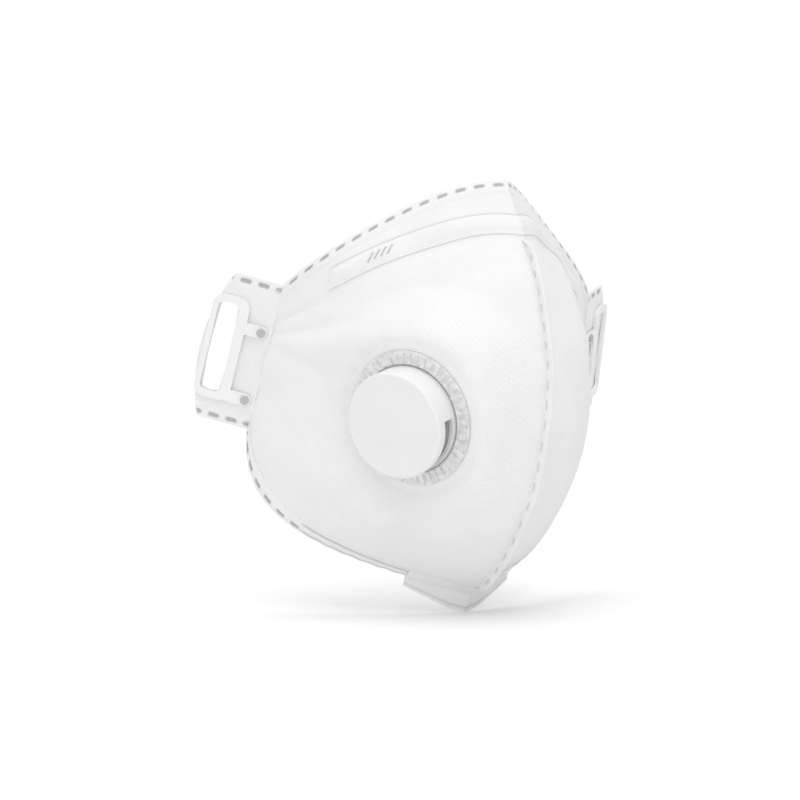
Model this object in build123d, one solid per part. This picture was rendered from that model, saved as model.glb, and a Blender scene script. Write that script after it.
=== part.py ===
from build123d import *
import os
from math import comb, cos, radians, sin

# Valved fold-flat filtering half mask, opened out as worn.
# Millimetres. +Z is up, -Y is forwards, away from the face, and x = 0 is the fold plane.
# The origin is the centre of the oval where the mask meets the face.
# Right and left are the wearer's. The right half lies at negative x and carries the valve.

# ---- Outline of the right half -------------------------------------------------------------
# Control points of four Bezier curves that bound the half's outer face.
NOSE_TOP = (0, -29, 68)
CHIN = (0, -11, -67)
EAR_ROOT_TOP = (-61, 8, 33)
EAR_ROOT_LOW = (-66, 22, -14)
SEAM_LINE = (CHIN, (0, -39, -57), (0, -66, -15), (0, -60, 23), (0, -43, 40), NOSE_TOP)
TOP_RIM = (NOSE_TOP, (-16, -14, 69), (-30, -5, 55), (-50, -1, 47), EAR_ROOT_TOP)
LOWER_RIM = (CHIN, (-22, -6, -61), (-50, 10, -53), (-66, 29, -43), EAR_ROOT_LOW)

# Fullness of the half: how far the inner control points stand out, seam to ear, chin to nose.
OUTWARD = Vector(-0.75, -0.66, 0)
FULLNESS_TO_EAR = (24.0, 5.0, -6.0)
FULLNESS_TO_NOSE = (0.45, 1.0, 1.0, 0.45)

# ---- Fabric layers, from the outside in ----------------------------------------------------
LAYER_THICKNESS = {"outer_cover": 0.5, "support_layer": 0.7, "filter_layer": 0.6, "inner_lining": 0.4}
LAYER_GAP = 0.15
SEAM_GAP = 0.3
GRID = 25
STRIP_ROWS = 6
FIT_TOLERANCE = 0.1

# ---- Centre seam and chin tab --------------------------------------------------------------
SEAM_THICKNESS = 1.6
SEAM_PROUD = 3.0
TAB_REACH = 0.22
TAB_FOOT_REACH = 0.065
TAB_DROP = 7.0
TAB_SIDE_DROP = 3.5
TAB_HANG = Vector(0, 0.3, -1).normalized()
TAB_LAP = 5.0
TAB_THICKNESS = 0.8

# ---- Rim hems ------------------------------------------------------------------------------
HEM_WIDTH = 5.0
HEM_THICKNESS = 0.5
HEM_INSET = 0.02

# ---- Nose clip and nose foam ---------------------------------------------------------------
CLIP_WIDTH = 8.5
CLIP_THICKNESS = 0.9
CLIP_REACH = 0.74
CLIP_AT_NOSE = 13.0
CLIP_AT_END = 7.0
FOAM_WIDTH = 12.0
FOAM_THICKNESS = 3.0
FOAM_REACH = 0.70
FOAM_BELOW_RIM = 1.5

# ---- Ears and strap buckles ----------------------------------------------------------------
# Ear sizes run outwards from the ear's root line, and down along it from the line's middle.
EAR_OUTWARD = Vector(-13.5, 9.5, 4.5)
EAR_REACH = 17.0
EAR_CROWN = 5.2
EAR_CORNER = 3.0
EAR_THICKNESS = 1.2
EAR_ROOT_GAP = 0.4
BUCKLE_THICKNESS = 1.2
SLOT_CENTRE = 15.2
SLOT_WIDTH = 7.0
SLOT_LENGTH = 30.0
SLOT_CORNER = 2.0
OUTER_RAIL = 1.9
INNER_RAIL = 3.4
END_RAIL = 2.4
LUG_WIDTH = 4.0
STUD_FROM_ROOT = 3.0
STUD_DROPS = (-8.0, 15.0)
STUD_RADIUS = 0.8
STUD_HEAD_RADIUS = 1.4
STUD_HEAD = 0.7
STUD_GAP = 0.1

# ---- Exhalation valve ----------------------------------------------------------------------
# Heights run along the valve's axis from the outer cover's face. In the valve's own plane +Y
# is downwards and +X is towards the ear.
VALVE_U = 0.365
VALVE_V = 0.425
VALVE_AZIMUTH = 64.0
VALVE_TILT = -13.0
VALVE_FLAT_RADIUS = 22.5
VALVE_BLEND_RADIUS = 40.0
VALVE_CLEAR_OF_SEAM = 0.14
COLLAR_RADIUS = 15.5
COLLAR_WALL = 1.2
COLLAR_HEIGHT = 2.2
FIT_GAP = 0.3
CAP_WALL = 1.2
CAP_HEIGHT = 10.5
CAP_EDGE = 1.1
EXHAUST_BASE = 2.6
EXHAUST_HEIGHT = 4.4
EXHAUST_ARC = 84.0
EXHAUST_FACING = 142.0
FLANGE_RADIUS = 21.5
FLANGE_THICKNESS = 1.0
SPOKES = 4
SPOKE_WIDTH = 1.6
SPOKE_DEPTH = 1.6
SEAT_LIP = 1.4
HUB_RADIUS = 2.4
FLAP_THICKNESS = 0.5
FLAP_HINGE = 10.0
FLAP_GAP = 0.1
RETAINER_THICKNESS = 1.0
RETAINER_HALF_LENGTH = 8.0
WELD_RING_WIDTH = 4.2
WELD_RING_THICKNESS = 0.5
WELD_TEETH = 48
WELD_TOOTH_WIDTH = 1.2
WELD_TOOTH_HEIGHT = 0.4


def bernstein(degree, t):
    return [comb(degree, i) * t**i * (1 - t) ** (degree - i) for i in range(degree + 1)]


def curve_point(points, t):
    weights = bernstein(len(points) - 1, t)
    return sum((Vector(p) * w for p, w in zip(points, weights)), Vector(0, 0, 0))


def mix(a, b, t):
    return Vector(a) * (1 - t) + Vector(b) * t


def control_net():
    """Control points of the half: its four edges blended across, then filled out."""
    last_u, last_v = len(TOP_RIM) - 1, len(SEAM_LINE) - 1
    net = []
    for i in range(last_u + 1):
        u, column = i / last_u, []
        for j in range(last_v + 1):
            v = j / last_v
            across = mix(SEAM_LINE[j], mix(EAR_ROOT_LOW, EAR_ROOT_TOP, v), u)
            along = mix(LOWER_RIM[i], TOP_RIM[i], v)
            corners = mix(mix(CHIN, NOSE_TOP, v), mix(EAR_ROOT_LOW, EAR_ROOT_TOP, v), u)
            point = across + along - corners
            if 0 < i < last_u and 0 < j < last_v:
                point += OUTWARD * FULLNESS_TO_EAR[i - 1] * FULLNESS_TO_NOSE[j - 1]
            column.append(point)
        net.append(column)
    return net


NET = [[tuple(point) for point in column] for column in control_net()]


def full_point(u, v):
    """The half's outer face before the valve flattens it."""
    across, along = bernstein(len(NET) - 1, u), bernstein(len(NET[0]) - 1, v)
    weighed = [(a * b, point) for a, column in zip(across, NET) for b, point in zip(along, column)]
    return Vector(*(sum(weight * point[axis] for weight, point in weighed) for axis in range(3)))


def smooth(t):
    t = min(max(t, 0), 1)
    return t * t * (3 - 2 * t)


VALVE_CENTRE = full_point(VALVE_U, VALVE_V)
VALVE_AXIS = Vector(
    -sin(radians(VALVE_AZIMUTH)) * cos(radians(VALVE_TILT)),
    -cos(radians(VALVE_AZIMUTH)) * cos(radians(VALVE_TILT)),
    sin(radians(VALVE_TILT)),
)
VALVE_PLANE = Plane(origin=VALVE_CENTRE, x_dir=VALVE_AXIS.cross(Vector(0, 0, 1)), z_dir=VALVE_AXIS)


def face_point(u, v, valved):
    """A point of the half's outer face, flat round the valve on the half that has it.

    Below the lower rim, where v is negative, it hangs down.
    """
    if v < 0:
        return face_point(u, 0, valved) + TAB_HANG * (-v * rise(u))
    point = full_point(u, v)
    if not valved:
        return point
    arm = point - VALVE_CENTRE
    height = arm.dot(VALVE_AXIS)
    radius = (arm - VALVE_AXIS * height).length
    hold = smooth((VALVE_BLEND_RADIUS - radius) / (VALVE_BLEND_RADIUS - VALVE_FLAT_RADIUS))
    hold *= smooth(u / VALVE_CLEAR_OF_SEAM)
    return point - VALVE_AXIS * height * hold


def seam_inset(v, side_gap):
    """The step in u that brings the half's edge to side_gap from the fold plane."""
    return side_gap / (-(len(NET) - 1) * curve_point(NET[1], v).X)


def layer_point(u, v, height, valved):
    """A point at a height above the outer face. Heights at the seam stay in the fold plane."""
    step = 0.004
    ahead = face_point(min(u + step, 1), v, valved) - face_point(max(u - step, 0), v, valved)
    upward = face_point(u, min(v + step, 1), valved) - face_point(u, max(v - step, 0), valved)
    normal = ahead.cross(upward).normalized()
    if normal.dot(OUTWARD) < 0:
        normal = normal * -1
    normal = Vector(normal.X * smooth(u / 0.2), normal.Y, normal.Z).normalized()
    return face_point(u, v, valved) + normal * height


def strip(u_range, v_range, low, high, side_gap, valved, rows=STRIP_ROWS):
    """A solid strip of the half between two heights. v_range gives v at both edges for each u."""

    def grid(height):
        points = []
        for i in range(GRID):
            u = u_range[0] + (u_range[1] - u_range[0]) * i / (GRID - 1)
            start, end = v_range(u)
            steps = [start + (end - start) * j / (rows - 1) for j in range(rows)]
            points.append([layer_point(u + (1 - u) * seam_inset(v, side_gap), v, height, valved) for v in steps])
        return points

    def edge_near(face, points):
        middle = points[len(points) // 2]
        return min(face.edges(), key=lambda edge: edge.distance_to(Vertex(*middle)))

    outer_grid, inner_grid = grid(high), grid(low)
    outer = Face.make_surface_from_array_of_points(outer_grid, tol=FIT_TOLERANCE)
    inner = Face.make_surface_from_array_of_points(inner_grid, tol=FIT_TOLERANCE)
    borders = (
        (outer_grid[0], inner_grid[0]),
        (outer_grid[-1], inner_grid[-1]),
        ([r[0] for r in outer_grid], [r[0] for r in inner_grid]),
        ([r[-1] for r in outer_grid], [r[-1] for r in inner_grid]),
    )
    walls = [
        Face.make_surface_from_curves(edge_near(outer, high_row), edge_near(inner, low_row))
        for high_row, low_row in borders
    ]
    solid = Solid(Shell([outer, inner, *walls]))
    return solid if solid.volume > 0 else solid.fix()


def rise(u):
    """Length of the half from its lower rim to its top rim at u."""
    steps = 24
    points = [full_point(u, i / steps) for i in range(steps + 1)]
    return sum((b - a).length for a, b in zip(points, points[1:]))


def below_top(u, start, width):
    """v at both edges of a band that starts below the top rim."""
    length = rise(u)
    return 1 - (start + width) / length, 1 - start / length


def mirrored(shape):
    return shape.mirror(Plane.YZ)


def placed(shape, plane=VALVE_PLANE):
    return plane.location * shape


def both_halves(band, low, high):
    """A band that crosses the fold plane in one piece."""
    half = strip(*band, low, high, 0, False)
    return half + mirrored(half)


# ---- Fabric layers -------------------------------------------------------------------------
def layer_heights():
    """Lowest and highest height of each fabric layer."""
    heights, top = {}, 0
    for name, thickness in LAYER_THICKNESS.items():
        heights[name] = (top - thickness, top)
        top -= thickness + LAYER_GAP
    return heights


HEIGHTS = layer_heights()
FABRIC_DEPTH = -min(low for low, high in HEIGHTS.values())
SIDE_GAP = SEAM_THICKNESS / 2 + SEAM_GAP


def fabric_layer(name, valved):
    low, high = HEIGHTS[name]
    layer = strip((0, 1), lambda u: (0, 1), low, high, SIDE_GAP, valved, rows=GRID)
    if not valved:
        return mirrored(layer)
    hole = Cylinder(COLLAR_RADIUS + FIT_GAP, CAP_HEIGHT)
    return layer - placed(hole)


def hem(lower, valved):
    """The welded band along the lower rim or the top rim of a half, on the outer cover."""
    low = LAYER_GAP
    if lower:
        reach = (TAB_REACH + HEM_INSET, 1 - HEM_INSET)
        band = strip(reach, lambda u: (0, HEM_WIDTH / rise(u)), low, low + HEM_THICKNESS, SIDE_GAP, valved)
    else:
        reach = (0, 1 - HEM_INSET)
        band = strip(reach, lambda u: below_top(u, 0, HEM_WIDTH), low, low + HEM_THICKNESS, SIDE_GAP, valved)
    return band if valved else mirrored(band)


# ---- Centre seam and chin tab --------------------------------------------------------------
def seam_blade(start, end, proud):
    """A blade in the fold plane, from the lining to a height proud of the cover."""
    steps = 12
    spine = [curve_point(SEAM_LINE, start + (end - start) * i / steps) for i in range(steps + 1)]
    rows = ([], [])
    for i, point in enumerate(spine):
        along = (spine[min(i + 1, steps)] - spine[max(i - 1, 0)]).normalized()
        forward = Vector(0, -along.Z, along.Y)
        rows[0].append(point + forward * proud)
        rows[1].append(point - forward * FABRIC_DEPTH)
    front, back = Spline(rows[0]), Spline(rows[1])
    face = make_face([front, back, Line(front @ 1, back @ 1), Line(front @ 0, back @ 0)])
    return extrude(face, SEAM_THICKNESS / 2, dir=(1, 0, 0), both=True)


def centre_seam():
    """The weld along the fold plane, flush at its ends, with a fin between chin tab and nose clip."""
    length = rise(0)
    fin_low = (TAB_LAP + SEAM_GAP) / length
    fin_high = 1 - (CLIP_AT_NOSE + CLIP_WIDTH + SEAM_PROUD / 2) / length
    return seam_blade(0, 1, -SEAM_THICKNESS / 2) + seam_blade(fin_low, fin_high, SEAM_PROUD)


def chin_tab():
    """The trapezium of fabric that laps over the chin and hangs below it."""

    def span(u):
        slant = max(u - TAB_FOOT_REACH, 0) / (TAB_REACH - TAB_FOOT_REACH)
        drop = TAB_DROP + (TAB_SIDE_DROP - TAB_DROP) * slant
        return -drop / rise(u), TAB_LAP / rise(u)

    return both_halves(((0, TAB_REACH), span), SEAM_GAP, SEAM_GAP + TAB_THICKNESS)


# ---- Nose clip and nose foam ---------------------------------------------------------------
def nose_clip():
    """The bendable strip across the nose, on the outside."""

    def span(u):
        return below_top(u, CLIP_AT_NOSE + (CLIP_AT_END - CLIP_AT_NOSE) * u / CLIP_REACH, CLIP_WIDTH)

    return both_halves(((0, CLIP_REACH), span), SEAM_GAP, SEAM_GAP + CLIP_THICKNESS)


def nose_foam():
    """The soft pad that lies against the nose, on the inside."""
    top = -FABRIC_DEPTH - SEAM_GAP
    band = ((0, FOAM_REACH), lambda u: below_top(u, FOAM_BELOW_RIM, FOAM_WIDTH))
    return both_halves(band, top - FOAM_THICKNESS, top)


# ---- Ears ----------------------------------------------------------------------------------
ROOT_LINE = Vector(EAR_ROOT_TOP) - Vector(EAR_ROOT_LOW)
ROOT_UP = ROOT_LINE.normalized()
EAR_ACROSS = EAR_OUTWARD - ROOT_UP * EAR_OUTWARD.dot(ROOT_UP)
EAR_PLANE = Plane(origin=mix(EAR_ROOT_LOW, EAR_ROOT_TOP, 0.5), x_dir=EAR_ACROSS, z_dir=ROOT_UP.cross(EAR_ACROSS))
BUCKLE_OUTER = SLOT_CENTRE + SLOT_WIDTH / 2 + OUTER_RAIL
BUCKLE_INNER = SLOT_CENTRE - SLOT_WIDTH / 2 - INNER_RAIL


def strap_slot():
    return Pos(SLOT_CENTRE, 0) * RectangleRounded(SLOT_WIDTH, SLOT_LENGTH, SLOT_CORNER)


def stud_places():
    return [Pos(STUD_FROM_ROOT, drop) for drop in STUD_DROPS]


def ear_flap():
    """The flat ear of laminate, from its root line to its crowned outer edge."""
    half = ROOT_LINE.length / 2
    high, low = (EAR_REACH - EAR_CORNER / 2, -half), (EAR_REACH, half)
    crown = ThreePointArc(high, (EAR_REACH + EAR_CROWN, EAR_CORNER), low)
    sides = Polyline(low, (EAR_ROOT_GAP, half), (EAR_ROOT_GAP, -half), high)
    face = make_face([crown, sides]) - strap_slot()
    face -= [place * Circle(STUD_RADIUS + STUD_GAP) for place in stud_places()]
    return extrude(face, EAR_THICKNESS, dir=(0, 0, -1))


def strap_buckle():
    """The moulded frame round the ear's slot, with a lug to each stud."""
    width = BUCKLE_OUTER - BUCKLE_INNER
    length = SLOT_LENGTH + 2 * END_RAIL
    frame = Pos((BUCKLE_OUTER + BUCKLE_INNER) / 2, 0) * RectangleRounded(width, length, SLOT_CORNER + OUTER_RAIL)
    arm = BUCKLE_INNER + INNER_RAIL / 2 - STUD_FROM_ROOT
    for place in stud_places():
        frame += place * Circle(LUG_WIDTH / 2)
        frame += place * Pos(arm / 2, 0) * Rectangle(arm, LUG_WIDTH)
    frame -= strap_slot()
    frame -= [place * Circle(STUD_RADIUS + STUD_GAP) for place in stud_places()]
    return Pos(0, 0, LAYER_GAP) * extrude(frame, BUCKLE_THICKNESS)


def buckle_studs():
    """The two headed studs that hold the buckle to the ear."""
    over, under = LAYER_GAP + BUCKLE_THICKNESS + STUD_GAP, -EAR_THICKNESS - STUD_GAP
    shank = Pos(0, 0, (over + under) / 2) * Cylinder(STUD_RADIUS, over - under)
    heads = [Pos(0, 0, over + STUD_HEAD / 2), Pos(0, 0, under - STUD_HEAD / 2)]
    stud = shank + [place * Cylinder(STUD_HEAD_RADIUS, STUD_HEAD) for place in heads]
    return Part() + [place * stud for place in stud_places()]


# ---- Exhalation valve ----------------------------------------------------------------------
CAP_RADIUS = COLLAR_RADIUS + FIT_GAP + CAP_WALL
SEAT_BORE = COLLAR_RADIUS - COLLAR_WALL
FLANGE_TOP = -FABRIC_DEPTH - LAYER_GAP
FLAP_RADIUS = SEAT_BORE - FIT_GAP


def disc(radius, low, high):
    return Pos(0, 0, low) * Cylinder(radius, high - low, align=(Align.CENTER, Align.CENTER, Align.MIN))


def beyond_hinge(low, high):
    """A block over the clamped side of the flap's hinge line."""
    size = 2 * FLANGE_RADIUS
    return Pos(0, -FLAP_HINGE - size / 2, (low + high) / 2) * Box(size, size, high - low)


def valve_cap():
    """The snap-on cap, with its exhaust window in the side wall."""
    cap = disc(CAP_RADIUS, LAYER_GAP, CAP_HEIGHT)
    cap = fillet(cap.faces().sort_by(Axis.Z)[-1].edges(), CAP_EDGE)
    cap -= disc(CAP_RADIUS - CAP_WALL, 0, CAP_HEIGHT - CAP_WALL)
    middle = (Align.NONE, Align.NONE, Align.CENTER)
    window = Cylinder(2 * CAP_RADIUS, EXHAUST_HEIGHT, arc_size=EXHAUST_ARC, align=middle)
    turn = EXHAUST_FACING - EXHAUST_ARC / 2
    return cap - Pos(0, 0, EXHAUST_BASE + EXHAUST_HEIGHT / 2) * Rot(0, 0, turn) * window


def valve_seat():
    """The flange behind the lining, the collar through the fabric, and the spoked seat."""
    seat = disc(FLANGE_RADIUS, FLANGE_TOP - FLANGE_THICKNESS, FLANGE_TOP)
    seat += disc(COLLAR_RADIUS, FLANGE_TOP - FLANGE_THICKNESS, COLLAR_HEIGHT)
    seat -= disc(SEAT_BORE, FLANGE_TOP - FLANGE_THICKNESS, COLLAR_HEIGHT)
    land_low = COLLAR_HEIGHT - SPOKE_DEPTH
    land = disc(COLLAR_RADIUS, land_low, COLLAR_HEIGHT)
    seat += land - disc(SEAT_BORE - SEAT_LIP, land_low, COLLAR_HEIGHT)
    seat += land & beyond_hinge(land_low, COLLAR_HEIGHT)
    seat += disc(HUB_RADIUS, land_low, COLLAR_HEIGHT)
    spoke = Pos(0, 0, land_low + SPOKE_DEPTH / 2) * Box(2 * SEAT_BORE, SPOKE_WIDTH, SPOKE_DEPTH)
    return seat + [Rot(0, 0, 180 * i / SPOKES) * spoke for i in range(SPOKES)]


def valve_flap():
    """The thin silicone flap on the seat, up to its hinge line."""
    low = COLLAR_HEIGHT + FLAP_GAP
    return disc(FLAP_RADIUS, low, low + FLAP_THICKNESS) - Pos(0, -FLAP_GAP, 0) * beyond_hinge(0, CAP_HEIGHT)


def flap_retainer():
    """The bar that holds the flap's edge down, just behind its hinge line."""
    low = COLLAR_HEIGHT + FLAP_GAP
    bar = disc(FLAP_RADIUS, low, low + RETAINER_THICKNESS) & Pos(0, -FIT_GAP, 0) * beyond_hinge(0, CAP_HEIGHT)
    return bar & Box(2 * RETAINER_HALF_LENGTH, 4 * FLANGE_RADIUS, 2 * CAP_HEIGHT)


def weld_ring():
    """The pressed ring of radial teeth that welds the fabric to the flange round the cap."""
    inner = CAP_RADIUS + 2 * FIT_GAP
    outer = inner + WELD_RING_WIDTH
    top = FIT_GAP + WELD_RING_THICKNESS
    ring = disc(outer, FIT_GAP, top) - disc(inner, 0, CAP_HEIGHT)
    tooth = Box(WELD_RING_WIDTH - WELD_TOOTH_HEIGHT, WELD_TOOTH_WIDTH, WELD_TOOTH_HEIGHT)
    places = PolarLocations((inner + outer) / 2, WELD_TEETH)
    return ring + [place * Pos(0, 0, top + WELD_TOOTH_HEIGHT / 2) * tooth for place in places]


# ---- Every node ----------------------------------------------------------------------------
def all_parts():
    parts = {
        "centre_seam": centre_seam(),
        "chin_tab": chin_tab(),
        "nose_clip": nose_clip(),
        "nose_foam": nose_foam(),
    }
    for side, valved in (("right", True), ("left", False)):
        for name in LAYER_THICKNESS:
            parts[f"{name}_{side}"] = fabric_layer(name, valved)
        parts[f"top_hem_{side}"] = hem(False, valved)
        parts[f"lower_hem_{side}"] = hem(True, valved)
        for name, make in (("ear_flap", ear_flap), ("strap_buckle", strap_buckle), ("buckle_studs", buckle_studs)):
            piece = placed(make(), EAR_PLANE)
            parts[f"{name}_{side}"] = piece if valved else mirrored(piece)
    for name, make in (
        ("valve_cap", valve_cap),
        ("valve_seat", valve_seat),
        ("valve_flap", valve_flap),
        ("flap_retainer", flap_retainer),
        ("valve_weld_ring", weld_ring),
    ):
        parts[name] = placed(make())
    return parts


os.makedirs("parts", exist_ok=True)
for node, shape in all_parts().items():
    export_step(shape, f"parts/{node}.step")
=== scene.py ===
"""Finished look of a valved fold-flat dust mask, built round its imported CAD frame."""

import logging
import math
from dataclasses import dataclass, field
from enum import Enum
from typing import Callable

import bpy
import numpy as np
from mathutils import Matrix, Vector


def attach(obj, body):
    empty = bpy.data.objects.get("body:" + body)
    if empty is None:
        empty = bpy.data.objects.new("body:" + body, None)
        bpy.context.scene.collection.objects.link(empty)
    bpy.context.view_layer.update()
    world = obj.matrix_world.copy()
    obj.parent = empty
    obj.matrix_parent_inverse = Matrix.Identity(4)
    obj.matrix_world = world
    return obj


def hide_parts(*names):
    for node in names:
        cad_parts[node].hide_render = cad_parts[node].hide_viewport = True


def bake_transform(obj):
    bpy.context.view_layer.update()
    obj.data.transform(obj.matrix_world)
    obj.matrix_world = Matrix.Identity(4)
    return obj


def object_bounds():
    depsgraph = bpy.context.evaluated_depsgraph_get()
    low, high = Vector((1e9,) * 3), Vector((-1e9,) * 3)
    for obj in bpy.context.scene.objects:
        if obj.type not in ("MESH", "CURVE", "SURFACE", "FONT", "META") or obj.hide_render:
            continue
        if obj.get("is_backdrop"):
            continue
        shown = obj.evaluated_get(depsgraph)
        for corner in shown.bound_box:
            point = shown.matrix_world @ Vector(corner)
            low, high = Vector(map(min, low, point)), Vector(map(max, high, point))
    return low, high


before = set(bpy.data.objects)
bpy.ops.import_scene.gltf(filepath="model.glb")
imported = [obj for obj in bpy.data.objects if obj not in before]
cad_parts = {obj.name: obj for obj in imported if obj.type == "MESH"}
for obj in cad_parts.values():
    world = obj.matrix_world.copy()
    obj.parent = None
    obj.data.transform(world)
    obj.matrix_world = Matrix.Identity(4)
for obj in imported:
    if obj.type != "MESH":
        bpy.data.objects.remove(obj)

LOG = logging.getLogger("dust_mask")
MM = 0.001
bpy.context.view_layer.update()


class Side(Enum):
    """The wearer's side of the mask, with the sign of its x."""

    RIGHT = -1
    LEFT = 1

    @property
    def word(self) -> str:
        """The side's word in node and body names."""
        return self.name.lower()

    @property
    def valved(self) -> bool:
        """Whether this side carries the valve."""
        return self is Side.RIGHT


# ---- Shader maths --------------------------------------------------------------------------
class Wire:
    """A shader socket that takes part in Python arithmetic."""

    def __init__(self, bench: "NodeBench", socket: bpy.types.NodeSocket) -> None:
        """Hold the socket and the bench it belongs to."""
        self.bench = bench
        self.socket = socket

    def _math(self, operation: str, first: object, second: object) -> "Wire":
        """Add one Math node.

        Args:
            operation: The Math node's operation.
            first: The first value or wire.
            second: The second value or wire.

        Returns:
            The wire of the result.
        """
        return self.bench.node("ShaderNodeMath", {"operation": operation}, {0: first, 1: second})

    def __add__(self, other: object) -> "Wire":
        """Sum."""
        return self._math("ADD", self, other)

    def __radd__(self, other: object) -> "Wire":
        """Reflected sum."""
        return self._math("ADD", other, self)

    def __sub__(self, other: object) -> "Wire":
        """Difference."""
        return self._math("SUBTRACT", self, other)

    def __rsub__(self, other: object) -> "Wire":
        """Reflected difference."""
        return self._math("SUBTRACT", other, self)

    def __mul__(self, other: object) -> "Wire":
        """Product."""
        return self._math("MULTIPLY", self, other)

    def __rmul__(self, other: object) -> "Wire":
        """Reflected product."""
        return self._math("MULTIPLY", other, self)

    def __truediv__(self, other: object) -> "Wire":
        """Quotient."""
        return self._math("DIVIDE", self, other)

    def __rtruediv__(self, other: object) -> "Wire":
        """Reflected quotient."""
        return self._math("DIVIDE", other, self)

    def __pow__(self, other: object) -> "Wire":
        """Power."""
        return self._math("POWER", self, other)

    def __rpow__(self, other: object) -> "Wire":
        """Reflected power."""
        return self._math("POWER", other, self)

    def __neg__(self) -> "Wire":
        """Opposite."""
        return self._math("MULTIPLY", self, -1.0)

    def sine(self) -> "Wire":
        """Sine of the value in radians."""
        return self._math("SINE", self, 0.0)

    def ramp(self, low: float, high: float) -> "Wire":
        """Smooth step.

        Args:
            low: The value that gives 0.
            high: The value that gives 1.

        Returns:
            The wire of the stepped value.
        """
        settings = {"interpolation_type": "SMOOTHSTEP"}
        inputs = {"Value": self, "From Min": low, "From Max": high}
        return self.bench.node("ShaderNodeMapRange", settings, inputs)


class NodeBench:
    """Adds nodes to one node tree."""

    def __init__(self, tree: bpy.types.NodeTree) -> None:
        """Start from an empty tree."""
        self.tree = tree
        self.tree.nodes.clear()

    def add(
        self, kind: str, settings: dict | None = None, inputs: dict | None = None
    ) -> bpy.types.Node:
        """Add a node.

        Args:
            kind: The node's type.
            settings: Properties that are set before its sockets.
            inputs: Socket names or numbers, each with a value or a wire.

        Returns:
            The node.
        """
        made = self.tree.nodes.new(kind)
        for key, value in (settings or {}).items():
            setattr(made, key, value)
        for key, value in (inputs or {}).items():
            self.feed(made.inputs[key], value)
        return made

    def node(
        self,
        kind: str,
        settings: dict | None = None,
        inputs: dict | None = None,
        out: int | str = 0,
    ) -> Wire:
        """Add a node and give one output.

        Args:
            kind: The node's type.
            settings: Properties that are set before its sockets.
            inputs: Socket names or numbers, each with a value or a wire.
            out: The output that is returned.

        Returns:
            The wire of that output.
        """
        return Wire(self, self.add(kind, settings, inputs).outputs[out])

    def feed(self, socket: bpy.types.NodeSocket, value: object) -> None:
        """Link a wire to a socket, or set the socket's value.

        Args:
            socket: The input socket.
            value: A wire, or a plain value.
        """
        if isinstance(value, Wire):
            self.tree.links.new(value.socket, socket)
        else:
            socket.default_value = value


class MaterialBench(NodeBench):
    """Builds one node material."""

    def __init__(self, name: str) -> None:
        """Start an empty material with its shader and output.

        Args:
            name: The material's name.
        """
        self.material = bpy.data.materials.new(name)
        self.material.use_nodes = True
        super().__init__(self.material.node_tree)
        surface = self.node("ShaderNodeBsdfPrincipled")
        self.shader = surface.socket.node
        self.add("ShaderNodeOutputMaterial", {}, {0: surface})

    def blend(self, factor: Wire, low: tuple, high: tuple) -> Wire:
        """Mix two colours by a factor."""
        return self.node("ShaderNodeMix", {"data_type": "RGBA"}, {0: factor, 6: low, 7: high}, 2)

    def noise(self, vector: Wire, scale: float, detail: float) -> Wire:
        """Noise value about 0.5."""
        return self.node("ShaderNodeTexNoise", {}, {"Vector": vector, "Scale": scale, "Detail": detail})

    def place(self, kind: str) -> Wire:
        """Texture coordinates of a kind: Object or UV."""
        return self.node("ShaderNodeTexCoord", {}, {}, kind)

    def bump(self, height: Wire, depth: float, strength: float = 1.0) -> None:
        """Drive the shader's normal with a height.

        Args:
            height: The height, from 0 to 1.
            depth: The height of 1, in metres.
            strength: The share of the slope that shows.
        """
        normal = self.node("ShaderNodeBump", {}, {"Height": height, "Distance": depth, "Strength": strength})
        self.feed(self.shader.inputs["Normal"], normal)

    def dress(self, **values: object) -> None:
        """Set the shader's sockets by name, with _ for each space."""
        for key, value in values.items():
            self.feed(self.shader.inputs[key.replace("_", " ")], value)


def grey(level: float, warmth: float = 0.0) -> tuple:
    """A near-white colour of a level, a little warm or cool."""
    return (level + warmth, level, level - warmth, 1.0)


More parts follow.
